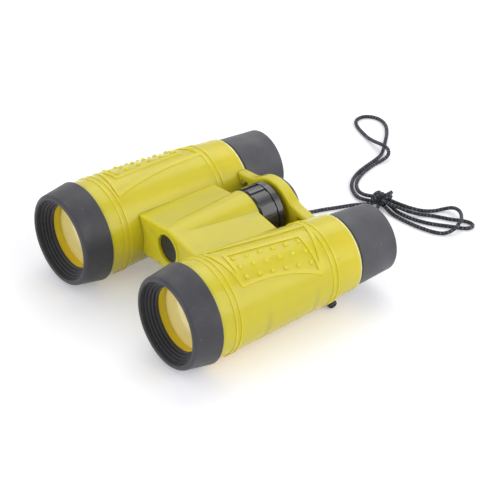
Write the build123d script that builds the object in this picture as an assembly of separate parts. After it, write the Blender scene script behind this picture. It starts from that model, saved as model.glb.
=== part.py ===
"""Child's binoculars: two tapered barrels on a bridge, focused by a centre wheel, with a folded neck cord.

Millimetres. X runs across the two barrels, the objectives face -Y, Z is up from the table.
The parts named right_ lie at +X and the parts named left_ are their mirror images at -X.
"""
import math
import os

from build123d import *

# Overall layout
axis_spacing = 70.0
hood_radius = 20.0
hood_length = 12.1
barrel_length = 68.0
eyepiece_reach = 19.0

# Clearances
fit_gap = 0.05
running_gap = 0.1
joint_gap = 0.1
cut_margin = 1.0

# Barrels
barrel_front_radius = 19.3
barrel_rear_radius = 15.5
barrel_bulge = 0.4
barrel_wall = 1.6
spigot_length = 6.0
collar_length = 9.0
rim_break = 0.5

# Rings round the barrels
ring_height = 0.4
ring_width = 1.5
front_ring_setback = 8.6
rear_ring_setback = 14.6
ring_pitch = 2.4

# Grip panels, high on the outside of each barrel: a field of bumps in two frames with one outer side.
# A place on a panel is its distance behind the barrel's front and its angle from straight up to the outside
panel_tilt = 27.0
frame_height = 0.45
frame_width = 1.4
frame_corner = 0.8
panel_front = (12.8, 46.2)
panel_waist = (31.2, 50.2)
panel_rear = (48.2, 71.2)
field_front = (14.1, -4.8)
field_rear = (47.5, 6.2)
border_front = (9.2, -33.0)
border_waist = (31.7, -17.0)
border_rear = (54.4, -11.0)
bump_radius = 1.0
bump_sink = 0.1
bump_rows = ((8.2, 17.3), (21.8, 32.4), (35.5, 48.9))
bump_columns = 6
bump_first = 16.6
bump_pitch = 5.65
pip_setback = 11.2
pip_angle = 58.7
pip_radius = 0.7
pip_sink = 0.2

# Objective lenses and hoods
lens_radius = 14.6
lens_edge = 1.5
lens_crown = 1.6
lens_seat_width = 1.2
lens_ring_radius = 13.2
lens_ring_length = 3.2
hood_lip_radius = 12.8
hood_lip_length = 1.1
hood_front_radius = 18.4
hood_nose = 1.5
mouth_break = 0.4
cap_seat_radius = 16.3
cap_seat_length = 2.2
hood_steps = 4

# Eyepieces
tube_radius = 12.2
tube_wall = 1.4
tube_front_reach = 6.0
eyecup_gap = 0.5
eyecup_front_wall = 2.5
eyecup_rear_wall = 1.3
eyecup_lip = 1.2
eyecup_mouth_inset = 0.6
eyecup_mouth_depth = 4.8
eyecup_brow = 1.2
eye_lens_edge = 1.4
eye_lens_crown = 1.0
eye_shoulder = 1.2
eye_ring_length = 1.8
eye_seat_width = 1.5

# Bridge housing and its base
bridge_front_setback = 14.1
bridge_length = 36.8
ridge_rise = 12.6
eave_rise = 10.1
eave_reach = 19.5
bridge_drop = 5.6
front_wall = 4.0
rear_wall = 2.0
cavity_width = 26.4
cavity_rise = 9.0
hump_front_radius = 8.3
hump_rear_radius = 11.05
roof_edge_round = 0.9
hole_rim_width = 1.1
hole_rim_height = 0.4
tongue_width = 11.5
notch_size = 1.2
base_thickness = 1.8
boss_radius = 2.8
boss_inset_x = 3.2
boss_inset_y = 3.4

# Focus wheel, shaft and cap
shaft_rise = 4.3
shaft_radius = 3.0
thread_pitch = 2.0
thread_depth = 0.35
shaft_head_radius = 5.8
shaft_head_length = 2.8
shaft_head_recess = 0.9
wheel_radius = 11.3
wheel_width = 10.4
wheel_gap = 0.6
wheel_band = 2.8
wheel_break = 0.4
pad_count = 14
pad_height = 0.6
pad_share = 0.62
pad_margin = 0.5
cap_radius = 10.5
cap_thickness = 2.1
cap_gap = 0.3
cap_round = 0.7

# Rear yoke
yoke_thickness = 4.4
yoke_crown = 16.4
yoke_shoulder = (9.4, 13.2)
yoke_waist = (12.2, 11.45)
yoke_arm = (15.6, 10.5)
yoke_eave = (24.0, 9.4)
yoke_round = 0.8
yoke_drop = 7.0

# Focus carriage
focus_travel = 5.0
carriage_setback = 29.5
nut_width = 9.2
nut_length = 10.0
nut_top = 4.2
arm_width = 6.0
arm_height = 5.0
slot_gap = 0.6

# Screws
screw_radius = 1.2
screw_head_radius = 1.6
screw_head_height = 1.2
screw_slot_width = 0.6
screw_slot_depth = 0.6
screw_tip_gap = 1.0
base_screw_length = 8.0
arm_screw_depth = 3.2
yoke_screw_rise = 6.0
yoke_screw_inset = 1.8
yoke_screw_depth = 2.0
yoke_screw_ledge = 1.2
yoke_pocket_size = 3.8

# Strap eyelets and cord
eyelet_offset = 2.0
eyelet_setback = 6.5
eyelet_thickness = 2.5
eyelet_radius = 2.0
eyelet_hole_radius = 1.15
cord_diameter = 1.6
cord_bend_share = 0.45
stopper_radius = 1.95
stopper_length = 5.6
stopper_round = 0.9
strand_tuck = 1.5
strand_lead = 1.9

# Places worked out from the sizes above
half_spacing = axis_spacing / 2
axis_height = hood_radius
overall_length = hood_length + barrel_length + eyepiece_reach
hood_front = -overall_length / 2
barrel_front = hood_front + hood_length
barrel_rear = barrel_front + barrel_length
eyecup_rear = barrel_rear + eyepiece_reach
spigot_front = barrel_front - spigot_length
spigot_bore = lens_radius + fit_gap
spigot_radius = spigot_bore + barrel_wall
lens_front = spigot_front + lens_ring_length
lens_back = lens_front + lens_edge
collar_front = barrel_rear - collar_length
collar_bore = tube_radius + running_gap

bridge_front = barrel_front + bridge_front_setback
bridge_rear = bridge_front + bridge_length
bridge_bottom = axis_height - bridge_drop
cavity_front = bridge_front + front_wall
cavity_rear = bridge_rear - rear_wall
cavity_top = axis_height + cavity_rise
base_top = bridge_bottom + base_thickness
boss_x = cavity_width / 2 - boss_inset_x
boss_rows = (cavity_front + boss_inset_y, cavity_rear - boss_inset_y)

shaft_z = axis_height + shaft_rise
wheel_front = bridge_rear + wheel_gap
wheel_rear = wheel_front + wheel_width
yoke_rear = barrel_rear
yoke_front = yoke_rear - yoke_thickness
cap_front = yoke_rear + cap_gap
cap_rear = cap_front + cap_thickness

carriage_y = barrel_front + carriage_setback
tube_bore = tube_radius - tube_wall
tube_front = carriage_y - tube_front_reach
eyecup_front_radius = tube_radius + eyecup_front_wall
eyecup_rear_radius = tube_radius + eyecup_rear_wall
eyecup_mouth_radius = tube_radius - eyecup_mouth_inset
mouth_floor = eyecup_rear - eyecup_mouth_depth
tube_rear = mouth_floor - eyecup_lip
eye_ring_front = tube_rear - eye_ring_length
eye_lens_back = eye_ring_front - eye_lens_edge
eye_aperture = tube_bore - eye_seat_width

yoke_screw_y = yoke_front + yoke_screw_inset
yoke_screw_z = axis_height + yoke_screw_rise
eyelet_outer = half_spacing + eyelet_offset
eyelet_inner = eyelet_outer - eyelet_thickness
eyelet_y = barrel_rear - eyelet_setback
eyelet_z = eyelet_radius
stopper_x = eyelet_outer + stopper_length / 2 + fit_gap

# Knot that binds the cords: turns round a solid core, each given by its place along the core and two tilts
knot_centre = (-5.4, 86.5, 3.2)
knot_way = (1.0, 0.2, 0.0)
knot_ring_radius = 2.3
knot_core_length = 8.4
knot_turns = ((-2.9, 8.0, 2.0), (-1.0, -6.0, 8.0), (0.2, 42.0, 12.0), (1.0, 10.0, -3.0), (2.9, -5.0, -6.0))
knot_stub_way = (0.5, 0.75, 0.6)
knot_stub_reach = 5.6

# Cord routes, chosen by hand over the table; heights are of the cord's centre line
lying = cord_diameter / 2
over_one = 3.4
strand_start = eyelet_outer + strand_tuck
strand_exit = eyelet_inner - strand_lead
right_strand_route = [
    (strand_start, eyelet_y, eyelet_z), (strand_exit, eyelet_y, eyelet_z), (27.2, 27.0, 1.2),
    (23.4, 31.8, lying), (22.2, 38.0, lying), (21.6, 44.6, lying), (19.6, 51.0, lying), (16.2, 57.0, lying),
    (11.6, 62.4, lying), (7.6, 68.3, lying), (2.6, 73.5, lying), (-0.6, 79.6, 1.2), (-4.6, 85.8, 2.5),
]
left_strand_route = [
    (-strand_start, eyelet_y, eyelet_z), (-strand_exit, eyelet_y, eyelet_z), (-27.6, 27.2, 1.2),
    (-24.6, 32.8, lying), (-26.2, 38.8, lying), (-26.0, 45.2, lying), (-22.2, 52.4, lying),
    (-17.6, 58.6, lying), (-15.8, 65.2, lying), (-13.2, 71.6, lying), (-11.2, 77.4, lying),
    (-7.0, 82.2, 1.4), (-5.2, 86.0, 2.4),
]
wrist_loop_route = [
    (-5.6, 87.6, 3.6), (-11.2, 85.4, 2.6), (-17.0, 85.6, 1.3), (-22.2, 88.6, lying), (-26.0, 93.2, lying),
    (-28.0, 98.8, lying), (-29.4, 104.6, lying), (-31.5, 110.2, 1.8), (-35.1, 114.7, over_one),
    (-40.6, 117.2, over_one), (-46.8, 117.2, 1.8), (-53.2, 117.0, lying), (-59.2, 118.4, lying),
    (-63.3, 120.7, lying), (-65.0, 123.9, lying), (-64.4, 127.3, lying), (-61.6, 129.8, lying),
    (-57.6, 130.7, lying), (-52.8, 129.3, lying), (-47.6, 125.4, lying), (-42.8, 120.4, lying),
    (-38.6, 115.0, lying), (-35.2, 109.6, lying), (-33.1, 103.8, lying), (-31.6, 97.9, lying),
    (-29.4, 92.2, lying), (-25.6, 87.4, lying), (-20.4, 83.9, lying), (-14.2, 82.7, 1.3), (-8.6, 84.2, 2.0),
    (-5.0, 85.4, 2.2),
]
upper_fold_route = [
    (-5.0, 87.4, 3.8), (-0.8, 88.4, 3.7), (3.2, 90.4, 3.0), (6.4, 93.6, 1.6), (9.6, 96.9, lying),
    (12.2, 100.6, lying), (13.6, 104.0, 1.2), (15.6, 106.4, 2.0), (18.8, 106.6, 2.9),
    (22.6, 105.3, over_one), (25.9, 102.8, over_one), (28.2, 99.6, over_one), (28.9, 95.9, 1.9),
    (27.6, 92.4, lying), (24.4, 89.8, lying), (19.8, 88.0, lying), (14.6, 86.6, lying), (9.0, 85.6, lying),
    (3.2, 85.1, lying), (-1.4, 85.6, 1.6), (-5.0, 86.0, 2.0),
]
lower_fold_route = [
    (-4.4, 85.6, 3.6), (-0.2, 86.2, 3.7), (4.0, 87.8, 3.3), (7.6, 90.5, 2.0), (10.7, 93.7, 1.0),
    (13.6, 96.9, lying), (17.2, 99.3, lying), (21.0, 101.6, lying), (24.4, 104.6, lying),
    (27.4, 106.3, lying), (30.0, 105.7, lying), (30.6, 103.2, lying), (28.8, 100.8, lying),
    (25.2, 98.2, lying), (21.4, 95.0, lying), (17.4, 92.1, lying), (12.9, 89.9, lying), (8.0, 88.4, lying),
    (3.0, 87.8, lying), (-1.2, 88.0, 1.6), (-4.6, 87.8, 2.0),
]


def barrel_radius(y):
    """Outside radius of a barrel at a place along its length."""
    share = (y - barrel_front) / barrel_length
    taper = barrel_front_radius + (barrel_rear_radius - barrel_front_radius) * share
    return taper + 4 * barrel_bulge * share * (1 - share)


def barrel_arc(start, end, offset):
    """Profile of the barrel's skin, moved out by an offset, from one place along it to another."""
    stations = (start, (start + end) / 2, end)
    return ThreePointArc(*[(barrel_radius(y) + offset, y) for y in stations])


def on_axis(part):
    """Move a part turned about Y to the right barrel's axis."""
    return Pos(half_spacing, 0, axis_height) * part


def on_shaft(part):
    """Move a part turned about Y to the focus shaft's axis."""
    return Pos(0, 0, shaft_z) * part


def turned(points, arcs=None):
    """Turn a closed outline of radius and Y points about the Y axis."""
    outline = Polyline(*points, close=arcs is None)
    edges = outline if arcs is None else [outline, *arcs]
    return revolve(make_face(edges), Axis.Y)


def quarter_round(corner, radius, inward, along):
    """Quarter circle that rounds an outline's corner, given the signs of the ways in and along from it."""
    r, y = corner
    lift = radius * (1 - math.sqrt(0.5))
    middle = (r + inward * lift, y + along * lift)
    return ThreePointArc((r + inward * radius, y), middle, (r, y + along * radius))


def crown_arc(clear, edge, crown):
    """Arc of a lens face from its clear radius to its pole, a signed crown along Y from the edge."""
    sphere = (clear ** 2 + crown ** 2) / (2 * abs(crown))
    lift = math.sqrt(sphere ** 2 - clear ** 2 / 4) - sphere + abs(crown)
    middle = (clear / 2, edge + math.copysign(lift, crown))
    return ThreePointArc((clear, edge), middle, (0, edge + crown))


def rod(radius, start, end):
    """Round bar along Y."""
    return turned([(0, start), (radius, start), (radius, end), (0, end)])


def cross_rod(radius, start, end, y, z):
    """Round bar along X."""
    return Pos((start + end) / 2, y, z) * Rot(0, 90, 0) * Cylinder(radius, end - start)


def block(x_range, y_range, z_range):
    """Rectangular block between three pairs of limits."""
    sizes = [high - low for low, high in (x_range, y_range, z_range)]
    centre = [(high + low) / 2 for low, high in (x_range, y_range, z_range)]
    return Pos(*centre) * Box(*sizes)


def slab(face_at_front, start, end):
    """Extrude an outline drawn in X and Z from one Y place to another."""
    plane = Plane(origin=(0, start, 0), x_dir=(1, 0, 0), z_dir=(0, -1, 0))
    return extrude(plane * face_at_front, amount=end - start, dir=(0, 1, 0))


def envelope(offset):
    """Solid of the right barrel's outside, moved out by an offset."""
    arc = barrel_arc(barrel_front, barrel_rear, offset)
    points = [arc @ 1, (0, barrel_rear), (0, barrel_front), arc @ 0]
    return on_axis(turned(points, [arc]))


def less_both_barrels(part, offset):
    """Cut both barrels' outsides out of a part that sits between them."""
    right = envelope(offset)
    return part - right - mirror(right, about=Plane.YZ)


def barrel_shell():
    """Tapered tube with a spigot for the hood at the front and a guide collar at the rear."""
    throat_end = barrel_front + barrel_wall
    outer = barrel_arc(barrel_front, barrel_rear - rim_break, 0)
    inner = barrel_arc(collar_front, throat_end, -barrel_wall)
    aperture = lens_radius - lens_seat_width
    front = Polyline(
        inner @ 1, (aperture, lens_back + lens_edge), (aperture, lens_back), (spigot_bore, lens_back),
        (spigot_bore, spigot_front), (spigot_radius, spigot_front), (spigot_radius, barrel_front), outer @ 0,
    )
    rear = Polyline(
        outer @ 1, (barrel_rear_radius - rim_break, barrel_rear), (collar_bore, barrel_rear),
        (collar_bore, collar_front), inner @ 0,
    )
    return on_axis(revolve(make_face([front, outer, rear, inner]), Axis.Y))


def barrel_ring(y):
    """Raised ring of trapezoid section round the barrel."""
    base = barrel_radius(y) - ring_height
    top = barrel_radius(y) + ring_height
    half = ring_width / 2
    return on_axis(turned([(base, y - half), (top, y - half / 2), (top, y + half / 2), (base, y + half)]))


def panel_side(*places):
    """Side of a frame on the panel's drawing plane: a line, or an arc through a middle place."""
    points = []
    for along, angle in places:
        y = barrel_front + along
        points.append((barrel_radius(y) * math.sin(math.radians(angle - panel_tilt)), y))
    return ThreePointArc(*points) if len(points) > 2 else Line(*points)


def panel_frame(front, rear, inner_side):
    """Raised frame on the barrel from its two inner corners, drawn flat and pressed onto the curved skin."""
    outline = make_face([
        panel_side(front, panel_front), panel_side(panel_front, panel_waist, panel_rear),
        panel_side(panel_rear, rear), inner_side,
    ])
    outline = fillet(outline.vertices(), frame_corner)
    ring = outline - offset(outline, amount=-frame_width)
    tilt = math.radians(panel_tilt)
    plane = Plane(
        origin=(half_spacing, 0, axis_height), x_dir=(math.cos(tilt), 0, -math.sin(tilt)),
        z_dir=(math.sin(tilt), 0, math.cos(tilt)),
    )
    prism = extrude(plane * ring, amount=2 * barrel_front_radius)
    skin = envelope(frame_height) - envelope(-barrel_wall / 2)
    return prism & skin


def skin_bump(y, angle, radius, sink):
    """Round bump on the barrel's skin, at an angle from straight up to the outside."""
    turn = math.radians(angle)
    reach = barrel_radius(y) - sink
    centre = (half_spacing + reach * math.sin(turn), y, axis_height + reach * math.cos(turn))
    return Pos(*centre) * Sphere(radius)


def panel_bumps():
    """Field of round bumps inside the frame, and the lone pip behind the rear rings."""
    bumps = [skin_bump(barrel_rear - pip_setback, pip_angle, pip_radius, pip_sink)]
    for front_angle, rear_angle in bump_rows:
        for column in range(bump_columns):
            y = barrel_front + bump_first + column * bump_pitch
            angle = front_angle + (rear_angle - front_angle) * column / (bump_columns - 1)
            bumps.append(skin_bump(y, angle, bump_radius, bump_sink))
    return bumps


def eyelet():
    """Strap eyelet that hangs from the barrel to the table, its hole across the barrel."""
    tab = Pos(eyelet_y, eyelet_z) * Circle(eyelet_radius)
    tab += Pos(eyelet_y, (eyelet_z + axis_height) / 2) * Rectangle(2 * eyelet_radius, axis_height - eyelet_z)
    tab -= Pos(eyelet_y, eyelet_z) * Circle(eyelet_hole_radius)
    plane = Plane(origin=(eyelet_inner, 0, 0), x_dir=(0, 1, 0), z_dir=(1, 0, 0))
    return extrude(plane * tab, amount=eyelet_thickness) - envelope(-barrel_wall / 2)


def carriage_slot(x_range, z_bottom):
    """Slot that the carriage's arm travels in."""
    y_range = (carriage_y - arm_width / 2 - slot_gap, carriage_y + arm_width / 2 + focus_travel + slot_gap)
    return block(x_range, y_range, (z_bottom, axis_height + arm_height / 2 + slot_gap))


def barrel():
    """Right barrel with its rings, grip panel, eyelet and the arm's slot."""
    rings = [barrel_front + front_ring_setback + step * ring_pitch for step in (-1, 0)]
    rings += [barrel_rear - rear_ring_setback + step * ring_pitch for step in (0, 1)]
    part = barrel_shell() + [barrel_ring(y) for y in rings]
    part += panel_frame(field_front, field_rear, panel_side(field_rear, field_front))
    part += panel_frame(border_front, border_rear, panel_side(border_rear, border_waist, border_front))
    part += panel_bumps()
    part += eyelet()
    part -= carriage_slot((0, half_spacing - tube_radius), axis_height - arm_height / 2 - slot_gap)
    return part - yoke_screw_hole()


def objective_lens():
    """Plano-convex lens with a flat edge."""
    edge = lens_front + fit_gap
    clear = lens_ring_radius - fit_gap
    rim = [(lens_radius, lens_back), (lens_radius, edge), (clear, edge)]
    points = [(0, edge - lens_crown), (0, lens_back), *rim]
    return on_axis(turned(points, [crown_arc(clear, edge, -lens_crown)]))


def objective_lens_ring():
    """Ring pushed into the spigot, which keeps the objective lens on its seat."""
    front = spigot_front + fit_gap
    return on_axis(turned([
        (lens_ring_radius, front), (lens_radius, front),
        (lens_radius, lens_front), (lens_ring_radius, lens_front),
    ]))


def hood():
    """Soft collar over the barrel's spigot, with a mouth that steps in to the lens."""
    bore = spigot_radius + fit_gap
    rear = barrel_front - fit_gap
    lip_front = spigot_front - hood_lip_length
    seat_back = hood_front + cap_seat_length
    step_length = (lip_front - seat_back) / (hood_steps - 1)
    step_height = (cap_seat_radius - hood_lip_radius) / hood_steps
    points = [(bore, rear), (bore, spigot_front), (hood_lip_radius, spigot_front)]
    for step in range(hood_steps):
        radius = hood_lip_radius + step * step_height
        step_front = lip_front - step * step_length
        points += [(radius, step_front), (radius + step_height, step_front)]
    nose = quarter_round((hood_front_radius, hood_front), hood_nose, -1, 1)
    points += [(cap_seat_radius, hood_front + mouth_break), (cap_seat_radius + mouth_break, hood_front)]
    mouth = Polyline(*points, nose @ 0)
    back = Polyline(nose @ 1, (hood_radius, rear - rim_break), (hood_radius - rim_break, rear), points[0])
    return on_axis(revolve(make_face([mouth, nose, back]), Axis.Y))


def eyepiece_tube():
    """Tube that slides in the barrel's collar, with a shoulder for the eye lens."""
    shoulder_front = eye_lens_back - eye_shoulder
    points = [
        (tube_bore, tube_front), (tube_radius, tube_front), (tube_radius, tube_rear), (tube_bore, tube_rear),
        (tube_bore, eye_lens_back), (eye_aperture, eye_lens_back), (eye_aperture, shoulder_front),
        (tube_bore, shoulder_front),
    ]
    outside = half_spacing - tube_radius - cut_margin
    inside = half_spacing - tube_bore + cut_margin
    hole = cross_rod(screw_radius + fit_gap, outside, inside, carriage_y, axis_height)
    return on_axis(turned(points)) - hole


def eye_lens():
    """Biconvex lens behind the tube's shoulder."""
    radius = tube_bore - fit_gap
    clear = eye_aperture - fit_gap
    front = eye_lens_back + fit_gap
    back = eye_ring_front - fit_gap
    front_face = crown_arc(clear, front, -eye_lens_crown)
    back_face = crown_arc(clear, back, eye_lens_crown)
    edge = Polyline((clear, front), (radius, front), (radius, back), (clear, back))
    axis = Line(back_face @ 1, front_face @ 1)
    return on_axis(revolve(make_face([front_face, edge, back_face, axis]), Axis.Y))


def eye_lens_ring():
    """Ring that keeps the eye lens against its shoulder."""
    outer = tube_bore - fit_gap
    return on_axis(turned([
        (eye_aperture, eye_ring_front), (outer, eye_ring_front),
        (outer, tube_rear), (eye_aperture, tube_rear),
    ]))


def eyecup():
    """Soft cup over the tube's rear end, with a flared mouth."""
    bore = tube_radius + fit_gap
    front = barrel_rear + eyecup_gap
    rim = quarter_round((eyecup_rear_radius, eyecup_rear), eyecup_brow, -1, -1)
    points = [
        rim @ 0, (eyecup_mouth_radius, eyecup_rear), (eye_aperture + mouth_break, mouth_floor),
        (eye_aperture, mouth_floor), (eye_aperture, tube_rear), (bore, tube_rear), (bore, front),
        (eyecup_front_radius - rim_break, front), (eyecup_front_radius, front + rim_break), rim @ 1,
    ]
    return on_axis(revolve(make_face([rim, Polyline(*points)]), Axis.Y))


def bridge_housing():
    """Gabled housing between the barrels, open below, with a half-cone hump over the shaft."""
    eave = axis_height + eave_rise
    outline = Polyline(
        (-eave_reach, bridge_bottom), (eave_reach, bridge_bottom), (eave_reach, eave),
        (0, axis_height + ridge_rise), (-eave_reach, eave), close=True,
    )
    part = slab(make_face(outline), bridge_front, bridge_rear)
    roof_ends = [edge for edge in part.edges().filter_by(Axis.Y, reverse=True) if edge.center().Z > eave]
    part = fillet(roof_ends, roof_edge_round)
    hump = on_shaft(turned([
        (0, bridge_front + roof_edge_round), (hump_front_radius, bridge_front + roof_edge_round),
        (hump_rear_radius, bridge_rear), (0, bridge_rear),
    ]))
    upper_half = (axis_height, axis_height + eave_reach)
    part += hump & block((-eave_reach, eave_reach), (bridge_front, bridge_rear), upper_half)
    bore = shaft_head_radius + running_gap
    part += on_shaft(rod(bore + hole_rim_width, bridge_front - hole_rim_height, cavity_front))
    part -= block((-cavity_width / 2, cavity_width / 2), (cavity_front, cavity_rear), (0, cavity_top))
    for x in (-boss_x, boss_x):
        for y in boss_rows:
            height = cavity_top - base_top
            boss = Pos(x, y, base_top + height / 2) * Cylinder(boss_radius, height)
            pilot = Cylinder(screw_radius + fit_gap, base_screw_length)
            part += boss - Pos(x, y, base_top + base_screw_length / 2) * pilot
    part -= on_shaft(rod(bore, bridge_front - front_wall, cavity_front))
    part -= on_shaft(rod(shaft_radius + running_gap, cavity_front, bridge_rear + rear_wall))
    part -= carriage_slot((-half_spacing, half_spacing), 0)
    notch_run = (bridge_front - cut_margin, cavity_front + cut_margin)
    notch = block((-notch_size / 2, notch_size / 2), notch_run, (0, bridge_bottom + notch_size))
    for side in (-1, 1):
        part -= Pos(side * tongue_width / 2, 0, 0) * notch
    return less_both_barrels(part, joint_gap)


def bridge_base():
    """Plate that closes the housing from below, with counterbored screw holes."""
    inset = running_gap
    part = block(
        (-cavity_width / 2 + inset, cavity_width / 2 - inset), (cavity_front + inset, cavity_rear - inset),
        (bridge_bottom, base_top),
    )
    for x in (-boss_x, boss_x):
        for y in boss_rows:
            place = Pos(x, y, bridge_bottom)
            part -= place * Cylinder(screw_radius + fit_gap, 2 * (base_thickness + cut_margin))
            part -= place * Cylinder(screw_head_radius + running_gap, 2 * screw_head_height)
    return part


def base_screws():
    """Four screws that hold the base to the housing's bosses."""
    shank = base_screw_length - screw_tip_gap
    head = Pos(0, 0, screw_head_height / 2) * Cylinder(screw_head_radius, screw_head_height)
    slot = Box(2 * (screw_head_radius + cut_margin), screw_slot_width, 2 * screw_slot_depth)
    body = Pos(0, 0, screw_head_height + shank / 2) * Cylinder(screw_radius, shank)
    screw = head - slot + body
    return [Pos(x, y, bridge_bottom) * screw for x in (-boss_x, boss_x) for y in boss_rows]


def rear_yoke():
    """Arched plate between the barrels' rear ends, which carries the shaft's rear end."""
    def above(point, side):
        return (side * point[0], axis_height + point[1])

    crown = ThreePointArc(above(yoke_shoulder, -1), (0, axis_height + yoke_crown), above(yoke_shoulder, 1))
    right = ThreePointArc(above(yoke_shoulder, 1), above(yoke_waist, 1), above(yoke_arm, 1))
    left = ThreePointArc(above(yoke_arm, -1), above(yoke_waist, -1), above(yoke_shoulder, -1))
    lower = Polyline(
        above(yoke_arm, 1), above(yoke_eave, 1), (yoke_eave[0], axis_height - yoke_drop),
        (-yoke_eave[0], axis_height - yoke_drop), above(yoke_eave, -1), above(yoke_arm, -1),
    )
    part = slab(make_face([left, crown, right, lower]), yoke_front, yoke_rear)
    across = part.edges().filter_by(Axis.Y, reverse=True)
    top_edges = [edge for edge in across if edge.center().Z > axis_height + yoke_eave[1]]
    part = fillet(top_edges, yoke_round)
    part = less_both_barrels(part, joint_gap)
    part -= on_shaft(rod(shaft_radius + running_gap, yoke_front - cut_margin, yoke_rear + cut_margin))
    for tool in (yoke_screw_pocket(), yoke_screw_hole()):
        part -= tool
        part -= mirror(tool, about=Plane.YZ)
    return part


def yoke_screw_seat():
    """X place of the ledge that a yoke screw's head bears on."""
    reach = math.sqrt(barrel_radius(yoke_screw_y) ** 2 - yoke_screw_rise ** 2)
    return half_spacing - reach - joint_gap - yoke_screw_ledge


def yoke_screw_tip():
    """X place of the right yoke screw's tip, inside the barrel's collar."""
    return yoke_screw_seat() + yoke_screw_ledge + joint_gap + yoke_screw_depth


def yoke_screw_pocket():
    """Pocket in the yoke's front face for the right screw's head."""
    seat = yoke_screw_seat()
    half = yoke_pocket_size / 2
    y_range = (yoke_front - cut_margin, yoke_screw_y + half)
    return block((seat - yoke_pocket_size, seat), y_range, (yoke_screw_z - half, yoke_screw_z + half))


def yoke_screw_hole():
    """Hole through the ledge and into the barrel's collar for the right screw."""
    start = yoke_screw_seat() - cut_margin
    end = yoke_screw_tip() + screw_tip_gap
    return cross_rod(screw_radius + fit_gap, start, end, yoke_screw_y, yoke_screw_z)


def yoke_screws():
    """Two screws that fix the yoke to the barrels' collars."""
    seat = yoke_screw_seat()
    top = seat - screw_head_height
    head = cross_rod(screw_head_radius, top, seat, yoke_screw_y, yoke_screw_z)
    head -= block(
        (top - cut_margin, top + screw_slot_depth),
        (yoke_screw_y - screw_slot_width / 2, yoke_screw_y + screw_slot_width / 2),
        (yoke_screw_z - 2 * screw_head_radius, yoke_screw_z + 2 * screw_head_radius),
    )
    screw = head + cross_rod(screw_radius, seat, yoke_screw_tip(), yoke_screw_y, yoke_screw_z)
    return [screw, mirror(screw, about=Plane.YZ)]


def focus_wheel():
    """Wheel with a smooth rear band and raised grip pads."""
    floor = wheel_radius - pad_height
    band_front = wheel_rear - wheel_band
    part = turned([
        (shaft_radius + fit_gap, wheel_front), (floor - wheel_break, wheel_front),
        (floor, wheel_front + wheel_break), (floor, band_front), (wheel_radius, band_front),
        (wheel_radius, wheel_rear - wheel_break), (wheel_radius - wheel_break, wheel_rear),
        (shaft_radius + fit_gap, wheel_rear),
    ])
    pitch = 360 / pad_count
    half = math.radians(pitch * pad_share / 2)
    inner = floor - pad_height
    outer_corner = (wheel_radius * math.sin(half), wheel_radius * math.cos(half))
    inner_corner = (inner * math.sin(half), inner * math.cos(half))
    mirrored = [(-x, z) for x, z in (inner_corner, outer_corner)]
    top = ThreePointArc(mirrored[1], (0, wheel_radius), outer_corner)
    sides = Polyline(outer_corner, inner_corner, *mirrored)
    pad = slab(make_face([top, sides]), wheel_front + pad_margin, band_front - pad_margin)
    part += [Rot(0, pitch * index, 0) * pad for index in range(pad_count)]
    return on_shaft(part)


def focus_shaft():
    """Shaft with a plain head at the front, a thread for the carriage and a plain rear journal."""
    head_front = bridge_front + shaft_head_recess
    head_rear = head_front + shaft_head_length
    thread_end = carriage_y + nut_length / 2 + focus_travel + thread_pitch
    points = [(0, head_front), (shaft_head_radius, head_front)]
    points += [(shaft_head_radius, head_rear), (shaft_radius, head_rear)]
    turns = int((thread_end - head_rear - thread_pitch) / thread_pitch)
    for turn in range(turns):
        start = head_rear + (turn + 1) * thread_pitch
        points += [
            (shaft_radius, start), (shaft_radius - thread_depth, start + thread_pitch / 4),
            (shaft_radius, start + thread_pitch / 2),
        ]
    end = cap_front + cap_thickness / 2
    points += [(shaft_radius, end), (0, end)]
    return on_shaft(turned(points))


def shaft_cap():
    """Thin round cap pressed on the shaft behind the yoke."""
    socket = cap_front + cap_thickness / 2 + fit_gap
    points = [
        (shaft_radius + fit_gap, cap_front), (cap_radius, cap_front), (cap_radius, cap_rear - cap_round),
        (cap_radius - cap_round, cap_rear), (0, cap_rear), (0, socket), (shaft_radius + fit_gap, socket),
    ]
    return on_shaft(turned(points))


def focus_carriage():
    """Nut on the shaft with an arm to each eyepiece tube."""
    bottom = axis_height - arm_height / 2
    part = block(
        (-nut_width / 2, nut_width / 2), (carriage_y - nut_length / 2, carriage_y + nut_length / 2),
        (bottom, shaft_z + nut_top),
    )
    part += block(
        (-half_spacing, half_spacing), (carriage_y - arm_width / 2, carriage_y + arm_width / 2),
        (bottom, axis_height + arm_height / 2),
    )
    part -= on_shaft(rod(shaft_radius + running_gap, carriage_y - nut_length, carriage_y + nut_length))
    seat = on_axis(rod(tube_radius + fit_gap, carriage_y - nut_length, carriage_y + nut_length))
    tip = half_spacing - tube_radius
    bottom_of_hole = tip - arm_screw_depth - screw_tip_gap
    hole = cross_rod(screw_radius + fit_gap, bottom_of_hole, half_spacing, carriage_y, axis_height)
    for tool in (seat, hole):
        part -= tool
        part -= mirror(tool, about=Plane.YZ)
    return part


def carriage_screws():
    """Two screws from inside the tubes into the carriage's arms."""
    sag = tube_bore - math.sqrt(tube_bore ** 2 - screw_head_radius ** 2)
    seat = half_spacing - tube_bore + sag + fit_gap
    tip = half_spacing - tube_radius - arm_screw_depth
    screw = cross_rod(screw_radius, tip, seat, carriage_y, axis_height)
    screw += cross_rod(screw_head_radius, seat, seat + screw_head_height, carriage_y, axis_height)
    return [screw, mirror(screw, about=Plane.YZ)]


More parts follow.
